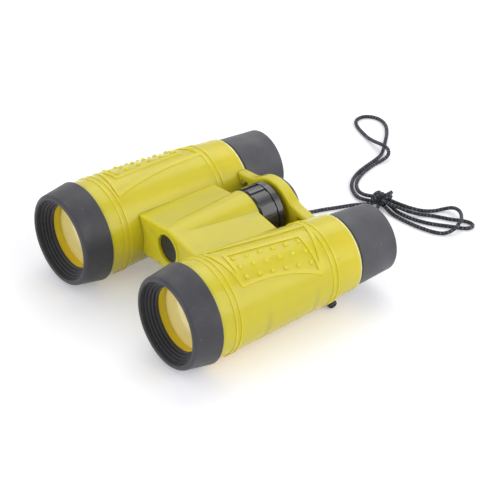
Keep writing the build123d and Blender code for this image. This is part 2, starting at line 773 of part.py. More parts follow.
def cord(name, route):
    """Tube along a route of straight runs joined by arcs as large as the runs allow."""
    points = [Vector(*point) for point in route]
    radii = []
    for before, here, after in zip(points, points[1:], points[2:]):
        turn = math.radians((here - before).get_angle(after - here))
        shorter = min((here - before).length, (after - here).length)
        radii.append(cord_bend_share * shorter / math.tan(turn / 2))
    path = FilletPolyline(*points, radius=radii)
    section = Plane(origin=path @ 0, z_dir=path % 0) * Circle(cord_diameter / 2)
    tube = sweep(section, path=path)
    expected = math.pi * cord_diameter ** 2 / 4 * path.length
    print(f"{name}: length {path.length:.1f}, volume share {tube.volume / expected:.4f}, "
          f"least radius {min(radii):.1f}, radii {[round(radius, 1) for radius in radii]}")
    return tube


def outside(tube, *knots):
    """Length of a cord that shows outside the knots that it runs up to."""
    for knot in knots:
        tube = tube - knot
    return max(tube.solids(), key=lambda solid: solid.volume)


def knot_core(radius):
    """Round bar along the knot's axis, as long as the knot."""
    return Plane(origin=knot_centre, z_dir=knot_way) * Cylinder(radius, knot_core_length)


def cord_knot():
    """Knot of cord turns wound round a solid core, with a short cut end."""
    axis = Plane(origin=knot_centre, z_dir=knot_way)
    knot = knot_core(knot_ring_radius)
    for place, first_tilt, second_tilt in knot_turns:
        ring = Rot(first_tilt, second_tilt, 0) * Torus(knot_ring_radius, cord_diameter / 2)
        knot += axis * Pos(0, 0, place) * ring
    way = Vector(*knot_stub_way).normalized()
    middle = Vector(*knot_centre) + way * (knot_stub_reach / 2)
    return knot + Plane(origin=middle, z_dir=way) * Cylinder(cord_diameter / 2, knot_stub_reach)


def stopper_knot():
    """Knot that keeps a cord's end on the outer side of the right eyelet."""
    bead = Cylinder(stopper_radius, stopper_length, rotation=(0, 90, 0))
    bead = fillet(bead.edges().filter_by(GeomType.CIRCLE), stopper_round)
    return Pos(stopper_x, eyelet_y, eyelet_z) * bead


def pieces():
    """Every piece of the binoculars by name."""
    paired = {
        "barrel": barrel(), "objective_lens": objective_lens(), "objective_lens_ring": objective_lens_ring(),
        "objective_hood": hood(), "eyepiece_tube": eyepiece_tube(), "eye_lens": eye_lens(),
        "eye_lens_ring": eye_lens_ring(), "eyecup": eyecup(), "stopper_knot": stopper_knot(),
    }
    named = {}
    for name, part in paired.items():
        named["right_" + name] = part
        named["left_" + name] = mirror(part, about=Plane.YZ)
    named["bridge_housing"] = bridge_housing()
    named["bridge_base"] = bridge_base()
    named["base_screws"] = base_screws()
    named["rear_yoke"] = rear_yoke()
    named["yoke_screws"] = yoke_screws()
    named["focus_wheel"] = focus_wheel()
    named["focus_shaft"] = focus_shaft()
    named["shaft_cap"] = shaft_cap()
    named["focus_carriage"] = focus_carriage()
    named["carriage_screws"] = carriage_screws()
    named["cord_knot"] = cord_knot()
    knot = knot_core(knot_ring_radius + cord_diameter / 2 + fit_gap)
    right_stopper = named["right_stopper_knot"]
    left_stopper = named["left_stopper_knot"]
    named["right_strand"] = outside(cord("right_strand", right_strand_route), knot, right_stopper)
    named["left_strand"] = outside(cord("left_strand", left_strand_route), knot, left_stopper)
    named["wrist_loop"] = outside(cord("wrist_loop", wrist_loop_route), knot)
    named["upper_fold"] = outside(cord("upper_fold", upper_fold_route), knot)
    named["lower_fold"] = outside(cord("lower_fold", lower_fold_route), knot)
    return named


def main():
    """Write one file for each piece."""
    os.makedirs("parts", exist_ok=True)
    for name, part in pieces().items():
        solid = Compound(children=part) if isinstance(part, list) else part
        export_step(solid, f"parts/{name}.step")


main()
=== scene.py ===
"""Looks of the toy binoculars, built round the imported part.

Everything is in metres, in the part's own frame: X runs across the barrels, the objectives face -Y and Z is
up from the table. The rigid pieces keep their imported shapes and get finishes; the cords and knots are wound
and braided here.
"""

import logging
import math
from dataclasses import dataclass, field
from enum import Enum

import bmesh
import bpy
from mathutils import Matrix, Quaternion, Vector


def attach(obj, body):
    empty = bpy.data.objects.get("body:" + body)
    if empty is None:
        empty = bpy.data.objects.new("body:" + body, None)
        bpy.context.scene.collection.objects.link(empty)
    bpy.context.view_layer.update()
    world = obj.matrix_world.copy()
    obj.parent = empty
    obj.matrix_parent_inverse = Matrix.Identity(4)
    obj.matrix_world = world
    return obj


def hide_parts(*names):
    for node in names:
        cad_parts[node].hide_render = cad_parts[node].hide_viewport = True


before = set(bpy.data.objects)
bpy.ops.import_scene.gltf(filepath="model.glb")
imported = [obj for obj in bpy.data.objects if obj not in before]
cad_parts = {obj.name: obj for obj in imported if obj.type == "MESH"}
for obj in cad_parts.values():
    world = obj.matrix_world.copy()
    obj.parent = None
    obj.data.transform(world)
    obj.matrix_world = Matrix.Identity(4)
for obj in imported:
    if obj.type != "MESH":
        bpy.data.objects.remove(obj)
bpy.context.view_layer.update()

log = logging.getLogger("binoculars")

Socket = bpy.types.NodeSocket
Colour = tuple[float, float, float]
Point = tuple[float, float, float]
Range = tuple[float, float]

FULL_TURN = 2 * math.pi

# The cord hangs on the barrels, so it rides on their body.
CORD_BODY = "body"
CORD_DIAMETER = 0.0016

# Control points for each turn of a knot, and points read for each of them.
KNOT_TURN_POINTS = 8
KNOT_STEPS = 6


class Slot(Enum):
    """Material slots of the part's record."""

    YELLOW = "yellow_plastic"
    RUBBER = "charcoal_rubber"
    BLACK = "black_plastic"
    LENS = "lens"
    STEEL = "screw_steel"
    CORD = "cord"


class Side(Enum):
    """The two barrels, with the sign of their X."""

    RIGHT = 1
    LEFT = -1

    def node(self, name: str) -> str:
        """Name of this side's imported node."""
        return f"{self.name.lower()}_{name}"


class Nodes:
    """A node tree, with short ways to add and join nodes."""

    def __init__(self, tree: bpy.types.NodeTree) -> None:
        """Keep the tree's nodes and links at hand.

        Args:
            tree: Node tree of a material or of the world.
        """
        self.nodes = tree.nodes
        self.links = tree.links

    def feed(self, socket: Socket, value: object) -> None:
        """Join a socket to an input, or set the input's own value.

        Args:
            socket: The input.
            value: A socket, or a plain value.
        """
        if isinstance(value, Socket):
            self.links.new(value, socket)
        else:
            socket.default_value = value

    def add(self, kind: str, **values: object) -> bpy.types.Node:
        """Add a node and set its properties and inputs.

        Args:
            kind: The node's Blender type, without the ShaderNode prefix.
            **values: Properties by name, or inputs by name with spaces as underscores.

        Returns:
            The new node.
        """
        node = self.nodes.new("ShaderNode" + kind)
        for name, value in values.items():
            if hasattr(node, name):
                setattr(node, name, value)
            else:
                self.feed(node.inputs[name.replace("_", " ")], value)
        return node

    def math(self, operation: str, first: object, second: object = 0.0) -> Socket:
        """Add a Math node.

        Args:
            operation: Blender's name of the operation.
            first: A number or a socket.
            second: A number or a socket.

        Returns:
            The result's socket.
        """
        node = self.add("Math", operation=operation)
        for socket, value in zip(node.inputs, (first, second)):
            self.feed(socket, value)
        return node.outputs[0]

    def span(self, value: Socket, start: float, end: float, low: float = 0.0, high: float = 1.0) -> Socket:
        """Map a range of values to another one, held at its ends.

        Args:
            value: Socket to map.
            start: Value that gives the low result.
            end: Value that gives the high result.
            low: Result at the start.
            high: Result at the end.

        Returns:
            Socket of the mapped value.
        """
        node = self.add("MapRange", Value=value, From_Min=start, From_Max=end, To_Min=low, To_Max=high)
        return node.outputs["Result"]

    def seen(self) -> Socket:
        """Tell what is seen, by the camera, in gloss or through glass, from what only lights.

        Returns:
            Socket that is 1 where it is seen and 0 where it only lights.
        """
        path = self.add("LightPath").outputs
        shown = self.math("MAXIMUM", path["Is Camera Ray"], path["Is Glossy Ray"])
        return self.math("MAXIMUM", shown, path["Is Transmission Ray"])


class Graph(Nodes):
    """A material's node tree, with one Principled shader."""

    def __init__(self, name: str) -> None:
        """Start the material.

        Args:
            name: The material's name.
        """
        self.material = bpy.data.materials.new(name)
        self.material.use_nodes = True
        super().__init__(self.material.node_tree)
        self.shader = self.nodes["Principled BSDF"]

    def place(self) -> Socket:
        """Position on the part, in its own frame."""
        return self.add("TexCoord").outputs["Object"]

    def noise(self, scale: float, detail: float) -> Socket:
        """Add a noise texture.

        Args:
            scale: Lumps for each metre.
            detail: Octaves of finer noise.

        Returns:
            Socket of the noise, from 0 to 1.
        """
        return self.add("TexNoise", Vector=self.place(), Scale=scale, Detail=detail).outputs["Fac"]

    def mix(self, share: Socket, base: Socket | Colour, colour: Colour) -> Socket:
        """Lay a colour over another one.

        Args:
            share: Socket from 0, the base alone, to 1, the new colour alone.
            base: The colour below, plain or as a socket.
            colour: The colour laid over it.

        Returns:
            Socket of the mixed colour.
        """
        node = self.add("Mix", data_type="RGBA")
        self.feed(node.inputs["Factor"], share)
        self.feed(node.inputs["A"], base if isinstance(base, Socket) else (*base, 1.0))
        self.feed(node.inputs["B"], (*colour, 1.0))
        return node.outputs["Result"]

    def bump(self, height: Socket, depth: float, strength: float) -> None:
        """Raise the surface by a height, on top of any bump that the shader has.

        Args:
            height: Socket from 0 to 1.
            depth: Metres that the height stands for.
            strength: Share of the effect.
        """
        node = self.add("Bump", Height=height, Distance=depth, Strength=strength)
        normal = self.shader.inputs["Normal"]
        if normal.is_linked:
            self.links.new(normal.links[0].from_socket, node.inputs["Normal"])
        self.links.new(node.outputs["Normal"], normal)

    def drive(self, name: str, value: Socket) -> None:
        """Join a socket to an input of the shader."""
        self.links.new(value, self.shader.inputs[name])

    def rough(self, pattern: Socket, limits: Range, start: float = 0.3, end: float = 0.7) -> None:
        """Vary the shader's roughness with a pattern.

        Args:
            pattern: Socket from 0 to 1.
            limits: Roughness at the start and at the end.
            start: Value of the pattern that gives the first limit.
            end: Value of the pattern that gives the second limit.
        """
        self.drive("Roughness", self.span(pattern, start, end, *limits))

    def set(self, **values: object) -> None:
        """Set plain numbers on the shader's own inputs, named with underscores for spaces."""
        for name, value in values.items():
            self.shader.inputs[name.replace("_", " ")].default_value = value


@dataclass(frozen=True)
class Finish:
    """A look for pieces that take one of the record's material slots."""

    slot: Slot
    name: str

    def material(self) -> bpy.types.Material:
        """Build the look's material, which each finish does in its own way."""
        raise NotImplementedError


@dataclass(frozen=True)
class TranslucentPlastic(Finish):
    """Glossy yellow plastic that light soaks into.

    Faint bands are painted shade, standing for the inner parts seen through the wall, and pale lines are
    painted highlights on cut edges, each at its place along Y.
    Near the table the plastic is painted with a warm orange-yellow glow, standing for light that passes
    through it.
    """

    slot: Slot = Slot.YELLOW
    name: str = "translucent_yellow"
    colour: Colour = (0.770, 0.645, 0.034)
    flow_colour: Colour = (0.730, 0.610, 0.034)
    streak_colour: Colour = (0.420, 0.430, 0.090)
    streak_share: float = 0.06
    streak_scale: Point = (70.0, 18.0, 70.0)
    # Painted shade: bands where the inner parts would darken the wall, faded out higher up.
    ribs: tuple[float, ...] = ()
    band_shade_colour: Colour = (0.300, 0.290, 0.090)
    band_shade_share: float = 0.34
    band_shade_fade: Range = (0.0, 0.0022)
    band_shade_heights: Range = (0.014, 0.024)
    # Painted highlight: pale lines where cut edges catch the light.
    rims: tuple[float, ...] = ()
    rim_highlight_colour: Colour = (0.960, 0.920, 0.520)
    rim_highlight_share: float = 0.85
    rim_highlight_fade: Range = (0.0002, 0.0005)
    # Painted glow: a warm orange-yellow near the table, for light passing through the plastic.
    amber_glow: Colour = (0.980, 0.640, 0.020)
    amber_glow_share: float = 0.70
    amber_glow_heights: Range = (0.003, 0.012)
    roughness: Range = (0.20, 0.25)
    soak: float = 0.85
    soak_depth: float = 0.0048
    soak_colours: Colour = (0.90, 0.85, 0.12)

    @classmethod
    def walled(cls) -> "TranslucentPlastic":
        """The barrels, with two bands of painted shade through the wall and a painted highlight line at the
        rear edge.
        """
        return cls(ribs=(-0.0155, 0.0077), rims=(0.0299,))

    @classmethod
    def streaked(cls) -> "TranslucentPlastic":
        """The bridge's moulding, a little greener and with plain flow marks.

        Returns:
            The finish.
        """
        return cls(
            name="streaked_yellow", colour=(0.700, 0.610, 0.028), flow_colour=(0.650, 0.570, 0.028),
            streak_share=0.46,
        )

    @classmethod
    def glowing(cls) -> "TranslucentPlastic":
        """The lens rings, painted warmer and brighter as a glow of the light that reaches them through the
        barrel.

        Returns:
            The finish.
        """
        return cls(
            # Painted glow: a brighter, warmer copy of the yellow plastic.
            name="glow_painted_yellow", colour=(0.900, 0.740, 0.040), flow_colour=(0.860, 0.690, 0.040), soak=0.2,
        )

    def streaks(self, graph: Graph) -> Socket:
        """Share of the grey-green flow marks, drawn out along the barrels.

        Args:
            graph: The material to add nodes to.

        Returns:
            Socket from 0 to the strongest share.
        """
        drawn_out = graph.add("Mapping", Vector=graph.place(), Scale=self.streak_scale).outputs["Vector"]
        marks = graph.add("TexNoise", Vector=drawn_out, Scale=1.0, Detail=3.0, Distortion=1.4)
        return graph.span(marks.outputs["Fac"], start=0.52, end=0.70, high=self.streak_share)

    def band(self, graph: Graph, along: Socket, place: float, fade: Range, share: float) -> Socket:
        """Share of a band that goes round the part.

        Args:
            graph: The material to add nodes to.
            along: Socket of Y.
            place: The band's middle along Y.
            fade: Distances from the middle at which it starts to fade and is gone.
            share: Its share in the middle.

        Returns:
            Socket from 0 to the share.
        """
        away = graph.math("ABSOLUTE", graph.math("SUBTRACT", along, place))
        return graph.span(away, *fade, low=share, high=0.0)

    def material(self) -> bpy.types.Material:
        """Build the finish.

        Returns:
            The new material.
        """
        graph = Graph(self.name)
        flow = graph.span(graph.noise(scale=28.0, detail=3.0), start=0.35, end=0.65)
        base = graph.mix(flow, self.colour, self.flow_colour)
        base = graph.mix(self.streaks(graph), base, self.streak_colour)
        where = graph.add("SeparateXYZ", Vector=graph.place()).outputs
        # Painted shade of the inner parts seen through the wall, only low on the barrel.
        for place in self.ribs:
            rib = self.band(graph, where["Y"], place, self.band_shade_fade, self.band_shade_share)
            low_down = graph.span(where["Z"], *self.band_shade_heights, low=1.0, high=0.0)
            base = graph.mix(graph.math("MULTIPLY", rib, low_down), base, self.band_shade_colour)
        # Painted highlight: a pale line at each cut edge.
        for place in self.rims:
            rim = self.band(graph, where["Y"], place, self.rim_highlight_fade, self.rim_highlight_share)
            base = graph.mix(rim, base, self.rim_highlight_colour)
        # Painted glow: the wall turns warm orange-yellow near the table, for light passing through the
        # plastic.
        glow = graph.span(where["Z"], *self.amber_glow_heights, low=self.amber_glow_share, high=0.0)
        graph.drive("Base Color", graph.mix(glow, base, self.amber_glow))
        graph.rough(graph.noise(scale=240.0, detail=4.0), self.roughness)
        graph.bump(graph.noise(scale=1800.0, detail=2.0), depth=0.000012, strength=0.25)
        graph.set(
            IOR=1.49, Subsurface_Weight=self.soak, Subsurface_Radius=self.soak_colours,
            Subsurface_Scale=self.soak_depth, Specular_IOR_Level=0.38,
        )
        return graph.material


@dataclass(frozen=True)
class SoftRubber(Finish):
    """Matte charcoal rubber with a fine moulded grain, some dust and pale specks."""

    slot: Slot = Slot.RUBBER
    name: str = "soft_rubber"
    colour: Colour = (0.023, 0.023, 0.029)
    dust_colour: Colour = (0.039, 0.039, 0.046)
    speck_colour: Colour = (0.150, 0.150, 0.165)
    roughness: Range = (0.46, 0.62)

    @classmethod
    def paler(cls) -> "SoftRubber":
        """The eyecups, a tone lighter than the hoods."""
        return cls(name="paler_rubber", colour=(0.053, 0.053, 0.062), dust_colour=(0.076, 0.076, 0.086))

    def material(self) -> bpy.types.Material:
        """Build the finish.

        Returns:
            The new material.
        """
        graph = Graph(self.name)
        dust = graph.span(graph.noise(scale=85.0, detail=5.0), start=0.38, end=0.72)
        base = graph.mix(dust, self.colour, self.dust_colour)
        specks = graph.span(graph.noise(scale=1100.0, detail=2.0), start=0.68, end=0.78, high=0.6)
        graph.drive("Base Color", graph.mix(specks, base, self.speck_colour))
        graph.rough(graph.noise(scale=160.0, detail=3.0), self.roughness)
        graph.bump(graph.noise(scale=1500.0, detail=3.0), depth=0.00004, strength=0.5)
        graph.bump(graph.noise(scale=120.0, detail=2.0), depth=0.00008, strength=0.25)
        graph.set(IOR=1.52, Sheen_Weight=0.09, Sheen_Roughness=0.55)
        return graph.material


@dataclass(frozen=True)
class SatinPlastic(Finish):
    """Near-black satin plastic with a moulded texture."""

    slot: Slot = Slot.BLACK
    name: str = "satin_black"
    colour: Colour = (0.012, 0.012, 0.014)
    worn_colour: Colour = (0.032, 0.032, 0.036)
    roughness: Range = (0.22, 0.34)
    coat: float = 0.55

    @classmethod
    def dull(cls) -> "SatinPlastic":
        """The focus shaft, blacker and without the wheel's shine.

        Returns:
            The finish.
        """
        return cls(
            name="dull_black", colour=(0.006, 0.006, 0.007), worn_colour=(0.016, 0.016, 0.018),
            roughness=(0.34, 0.46), coat=0.05,
        )

    def material(self) -> bpy.types.Material:
        """Build the finish.

        Returns:
            The new material.
        """
        graph = Graph(self.name)
        wear = graph.span(graph.noise(scale=110.0, detail=4.0), start=0.42, end=0.75)
        graph.drive("Base Color", graph.mix(wear, self.colour, self.worn_colour))
        graph.rough(graph.noise(scale=300.0, detail=3.0), self.roughness)
        graph.bump(graph.noise(scale=2200.0, detail=2.0), depth=0.00002, strength=0.4)
        graph.set(IOR=1.5, Coat_Weight=self.coat, Coat_Roughness=0.12)
        return graph.material


@dataclass(frozen=True)
class ClearLens(Finish):
    """Polished lens, painted an almost opaque warm yellow that stands for the lit inside of the barrel, with
    a faint film of dust.
    """

    slot: Slot = Slot.LENS
    name: str = "clear_lens"
    # Painted light: a warm yellow that stands for the lit inside of the barrel, seen through the lens.
    colour: Colour = (0.99, 0.83, 0.32)
    film_colour: Colour = (0.97, 0.78, 0.26)
    roughness: Range = (0.02, 0.08)

    def material(self) -> bpy.types.Material:
        """Build the finish.

        Returns:
            The new material.
        """
        graph = Graph(self.name)
        film = graph.noise(scale=140.0, detail=4.0)
        graph.rough(film, self.roughness, start=0.5, end=0.8)
        tint = graph.mix(graph.span(film, start=0.45, end=0.8), self.colour, self.film_colour)
        graph.drive("Base Color", tint)
        graph.set(IOR=1.49, Transmission_Weight=0.04, Alpha=0.94, Coat_Weight=0.3, Coat_Roughness=0.03)
        return graph.material


@dataclass(frozen=True)
class ScrewSteel(Finish):
    """Zinc-plated steel with spots of tarnish."""

    slot: Slot = Slot.STEEL
    name: str = "screw_steel"
    colour: Colour = (0.56, 0.55, 0.53)
    tarnish: Colour = (0.38, 0.36, 0.33)
    roughness: Range = (0.25, 0.5)

    def material(self) -> bpy.types.Material:
        """Build the finish.

        Returns:
            The new material.
        """
        graph = Graph(self.name)
        spots = graph.noise(scale=700.0, detail=4.0)
        graph.drive("Base Color", graph.mix(graph.span(spots, start=0.4, end=0.7), self.colour, self.tarnish))
        graph.rough(spots, self.roughness)
        graph.bump(graph.noise(scale=3000.0, detail=1.0), depth=0.00001, strength=0.3)
        graph.set(Metallic=1.0)
        return graph.material


@dataclass(frozen=True)
class BraidedCord(Finish):
    """Round braid of dark yarn with pale flecks, painted crevice shade and crown sheen, read from the tube's
    own length and turn.
    """

    slot: Slot = Slot.CORD
    name: str = "braided_cord"
    # Painted shade in the crevices between the yarns.
    crevice_shade: Colour = (0.004, 0.004, 0.006)
    yarn: Colour = (0.007, 0.008, 0.017)
    # Pale flecks in the yarn, also used for the painted sheen on the crowns.
    fleck_and_sheen: Colour = (0.300, 0.310, 0.390)
    carriers: int = 4
    pitch: float = 0.0030
    uv_map: str = "braid"

    def weave(self, graph: Graph) -> Socket:
        """Height of the crossing yarns.

        Args:
            graph: The material to add nodes to.

        Returns:
            Socket from 0 in the crevices to 1 on the yarns.
        """
        wrapped = graph.add("UVMap", uv_map=self.uv_map).outputs["UV"]
        where = graph.add("SeparateXYZ", Vector=wrapped).outputs
        turn = graph.math("MULTIPLY", where["X"], self.carriers)
        along = graph.math("DIVIDE", where["Y"], self.pitch)
        waves = []
        for operation in ("ADD", "SUBTRACT"):
            phase = graph.math("MULTIPLY", graph.math(operation, turn, along), FULL_TURN)
            waves.append(graph.math("SINE", phase))
        return graph.span(graph.math("MULTIPLY", *waves), start=-0.6, end=0.8)

    def material(self) -> bpy.types.Material:
        """Build the finish.

        Returns:
            The new material.
        """
        graph = Graph(self.name)
        height = self.weave(graph)
        # Painted shade: the crevices are drawn darker than the yarns.
        base = graph.mix(height, self.crevice_shade, self.yarn)
        # Pale flecks in the yarn, with a painted sheen on every crown from the lowest share.
        fleck_sheen_share = graph.span(graph.noise(scale=420.0, detail=2.0), start=0.40, end=0.62, low=0.10)
        crown = graph.span(height, start=0.62, end=0.98)
        graph.drive("Base Color", graph.mix(graph.math("MULTIPLY", fleck_sheen_share, crown), base, self.fleck_and_sheen))
        graph.bump(height, depth=0.00012, strength=0.8)
        graph.bump(graph.noise(scale=5200.0, detail=2.0), depth=0.00004, strength=0.5)
        graph.set(Roughness=0.6, Sheen_Weight=0.05, Sheen_Roughness=0.4)
        return graph.material


class Palette:
    """One material for each finish, made when first asked for."""

    def __init__(self) -> None:
        """Start with no materials."""
        self.made: dict[str, bpy.types.Material] = {}

    def paint(self, piece: bpy.types.Object, finish: Finish) -> None:
        """Give a piece its finish.

        Args:
            piece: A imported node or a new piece.
            finish: The look.
        """
        if finish.name not in self.made:
            self.made[finish.name] = finish.material()
        material = self.made[finish.name]
        if not piece.material_slots:
            piece.data.materials.append(material)
        for slot in piece.material_slots:
            slot.material = material


@dataclass
class RigidGroup:
    """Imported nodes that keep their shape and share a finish."""

    title: str
    finish: Finish
    paired: tuple[str, ...] = ()
    single: tuple[str, ...] = ()

    def names(self) -> list[str]:
        """Names of every node in the group."""
        both = [side.node(name) for name in self.paired for side in Side]
        return both + list(self.single)

    def dress(self, palette: Palette) -> None:
        """Put the finish on every node.

        Args:
            palette: Where the materials are kept.
        """
        for name in self.names():
            palette.paint(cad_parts[name], self.finish)
            log.info("%s: %s", self.title, name)


class Tube:
    """Mesh of a braided tube along a smooth line."""

    SIDES = 14
    RELIEF = 0.04

    def __init__(self, name: str, route: list[Point], diameter: float, steps: int = 14) -> None:
        """Read the smooth line of a route.

        Args:
            name: Name of the piece.
            route: Control points of the line.
            diameter: Of the cord, in metres.
            steps: Points read for each control point.
        """
        self.name = name
        self.radius = diameter / 2
        self.line = self.smooth_line(route, steps)

    def smooth_line(self, route: list[Point], steps: int) -> list[Vector]:
        """Points of the NURBS line that the route controls.

        Args:
            route: Control points.
            steps: Points for each control point.

        Returns:
            Points along the line.
        """
        curve = bpy.data.curves.new(self.name + "_line", "CURVE")
        curve.dimensions = "3D"
        spline = curve.splines.new("NURBS")
        spline.points.add(len(route) - 1)
        for point, place in zip(spline.points, route):
            point.co = (*place, 1.0)
        spline.order_u = 3
        spline.use_endpoint_u = True
        spline.resolution_u = steps
        guide = bpy.data.objects.new(self.name + "_line", curve)
        mesh = bpy.data.meshes.new_from_object(guide)
        points = [vertex.co.copy() for vertex in mesh.vertices]
        bpy.data.objects.remove(guide)
        bpy.data.curves.remove(curve)
        bpy.data.meshes.remove(mesh)
        return points

    def frames(self) -> list[tuple[Vector, Vector, Vector]]:
        """Carry two cross directions along the line without twisting.

        Returns:
            Place and both directions at each point.
        """
        found = []
        tangent = (self.line[1] - self.line[0]).normalized()
        across = tangent.orthogonal().normalized()
        last = len(self.line) - 1
        for index, here in enumerate(self.line):
            ahead = (self.line[min(index + 1, last)] - self.line[max(index - 1, 0)]).normalized()
            across = tangent.rotation_difference(ahead) @ across
            tangent = ahead
            found.append((here, across, tangent.cross(across)))
        return found

    def travelled(self) -> list[float]:
        """Measure the way along the line.

        Returns:
            Metres from the start at each point.
        """
        lengths = [0.0]
        for before, after in zip(self.line, self.line[1:]):
            lengths.append(lengths[-1] + (after - before).length)
        return lengths

    def reach(self, turn: float, along: float, finish: BraidedCord) -> float:
        """Radius of the braid at a place on it.

        Args:
            turn: Share of the way round.
            along: Metres along the cord.
            finish: The braid's pattern.

        Returns:
            Radius in metres.
        """
        first = math.sin(FULL_TURN * (finish.carriers * turn + along / finish.pitch))
        second = math.sin(FULL_TURN * (finish.carriers * turn - along / finish.pitch))
        return self.radius * (1 - self.RELIEF + self.RELIEF * first * second)

    def rings(self, mesh: bmesh.types.BMesh, finish: BraidedCord) -> list[list[bmesh.types.BMVert]]:
        """Add the tube's points.

        Args:
            mesh: The mesh to add to.
            finish: The braid's pattern.

        Returns:
            A ring of points for each point of the line.
        """
        rings = []
        for (here, across, beside), along in zip(self.frames(), self.travelled()):
            ring = []
            for side in range(self.SIDES):
                turn = side / self.SIDES
                angle = FULL_TURN * turn
                outward = math.cos(angle) * across + math.sin(angle) * beside
                ring.append(mesh.verts.new(here + self.reach(turn, along, finish) * outward))
            rings.append(ring)
        return rings

    def build(self, finish: BraidedCord) -> bpy.types.Object:
        """Make the tube's mesh, closed at both ends.

        Args:
            finish: The braid's pattern.

        Returns:
            The new object, in place.
        """
        mesh = bmesh.new()
        uv = mesh.loops.layers.uv.new(finish.uv_map)
        rings = self.rings(mesh, finish)
        travelled = self.travelled()
        for index in range(len(rings) - 1):
            for side in range(self.SIDES):
                following = (side + 1) % self.SIDES
                corners = ((index, side), (index, following), (index + 1, following), (index + 1, side))
                face = mesh.faces.new([rings[row][column] for row, column in corners])
                turns = (side, side + 1, side + 1, side)
                for loop, (row, _), turn in zip(face.loops, corners, turns):
                    loop[uv].uv = (turn / self.SIDES, travelled[row])
                face.smooth = True
        mesh.faces.new(list(reversed(rings[0])))
        mesh.faces.new(rings[-1])
        data = bpy.data.meshes.new(self.name)
        mesh.to_mesh(data)
        mesh.free()
        piece = bpy.data.objects.new(self.name, data)
        bpy.context.scene.collection.objects.link(piece)
        return piece

    def lay(self, node: str, finish: BraidedCord, palette: Palette) -> bpy.types.Object:
        """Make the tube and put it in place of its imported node.

        Args:
            node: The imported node.
            finish: The braid.
            palette: Where the materials are kept.

        Returns:
            The new piece.
        """
        piece = self.build(finish)
        palette.paint(piece, finish)
        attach(piece, CORD_BODY)
        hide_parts(node)
        log.info("neck cord: %s", piece.name)
        return piece


@dataclass
class CordRun:
    """One length of the neck cord, from where it leaves a knot to its other end."""

    node: str
    length: float
    route: list[Point]
    diameter: float = CORD_DIAMETER

    def build(self, finish: BraidedCord, palette: Palette) -> tuple[bpy.types.Object, list[Vector]]:
        """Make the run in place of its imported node.

        Args:
            finish: The braid.
            palette: Where the materials are kept.

        Returns:
            The piece and the line that it follows.
        """
        tube = Tube(self.node + "_braid", self.route, self.diameter)
        return tube.lay(self.node, finish, palette), tube.line


@dataclass
class BindingKnot:
    """Turns of cord wound round the bundle, one of them across the others, with a short cut end."""

    node: str = "cord_knot"
    centre: Point = (-0.0054, 0.0865, 0.0032)
    way: Point = (1.0, 0.2, 0.0)
    ring_radius: float = 0.0023
    half_length: float = 0.0033
    turns: float = 4.0
    tilt: float = 0.0009
    tilt_phase: float = 0.6
    over_from: float = 0.5
    over_to: float = -0.3
    over_tilt: float = 0.0030
    over_lift: float = 1.3
    stub_way: Point = (0.5, 0.75, 0.6)
    stub_start: float = 0.6
    stub_reach: float = 0.0056
    diameter: float = CORD_DIAMETER

    def turn(self, start: float, end: float, turns: float, tilt: float, radius: float) -> list[Vector]:
        """Control points of a winding round the bundle.

        Args:
            start: Place along the bundle where it starts, in metres from the middle.
            end: Place where it ends.
            turns: How many times it goes round.
            tilt: How far each turn leans along the bundle.
            radius: Of the winding.

        Returns:
            Points of each turn, none of them below the table.
        """
        along = Vector(self.way).normalized()
        beside = Vector((0.0, 0.0, 1.0)).cross(along).normalized()
        upward = along.cross(beside)
        count = int(turns * KNOT_TURN_POINTS)
        points = []
        for step in range(count + 1):
            angle = FULL_TURN * turns * step / count - FULL_TURN / 4
            reach = start + (end - start) * step / count + tilt * math.sin(angle + self.tilt_phase)
            point = Vector(self.centre) + along * reach
            point += radius * (math.cos(angle) * beside + math.sin(angle) * upward)
            point.z = max(point.z, self.diameter / 2)
            points.append(point)
        return points

    def route(self) -> list[Point]:
        """Follow the winding from inside the bundle to the cut end.

        Returns:
            Control points.
        """
        middle = Vector(self.centre)
        half = self.half_length
        stub = Vector(self.stub_way).normalized() * self.stub_reach
        points = self.turn(-half, half, self.turns, self.tilt, self.ring_radius)
        points += self.turn(
            half * self.over_from, half * self.over_to, turns=1.0, tilt=self.over_tilt,
            radius=self.ring_radius * self.over_lift,
        )
        points += [middle + stub * self.stub_start, middle + stub]
        return [tuple(point) for point in points]

    def build(self, finish: BraidedCord, palette: Palette) -> bpy.types.Object:
        """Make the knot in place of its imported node.

        Args:
            finish: The braid.
            palette: Where the materials are kept.

        Returns:
            The knot.
        """
        tube = Tube(self.node + "_winding", self.route(), self.diameter, steps=KNOT_STEPS)
        return tube.lay(self.node, finish, palette)


@dataclass
class StopperKnot:
    """Small knot that keeps a cord's end on the outer side of its eyelet."""

    side: Side
    centre: Point = (0.03985, 0.02405, 0.0020)
    ring_radius: float = 0.00115
    half_length: float = 0.0019
    turns: float = 2.5
    diameter: float = CORD_DIAMETER

    def route(self) -> list[Point]:
        """Follow the turns round the cord.

        Returns:
            Control points.
        """
        x, y, z = self.centre
        count = int(self.turns * KNOT_TURN_POINTS)
        points = []
        for step in range(count + 1):
            share = step / count
            angle = FULL_TURN * self.turns * share
            points.append((
                self.side.value * (x + self.half_length * (2 * share - 1)),
                y + self.ring_radius * math.cos(angle), z + self.ring_radius * math.sin(angle),
            ))
        return points

    def build(self, finish: BraidedCord, palette: Palette) -> bpy.types.Object:
        """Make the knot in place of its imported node.

        Args:
            finish: The braid.
            palette: Where the materials are kept.

        Returns:
            The knot.
        """
        node = self.side.node("stopper_knot")
        tube = Tube(node + "_winding", self.route(), self.diameter, steps=KNOT_STEPS)
        return tube.lay(node, finish, palette)


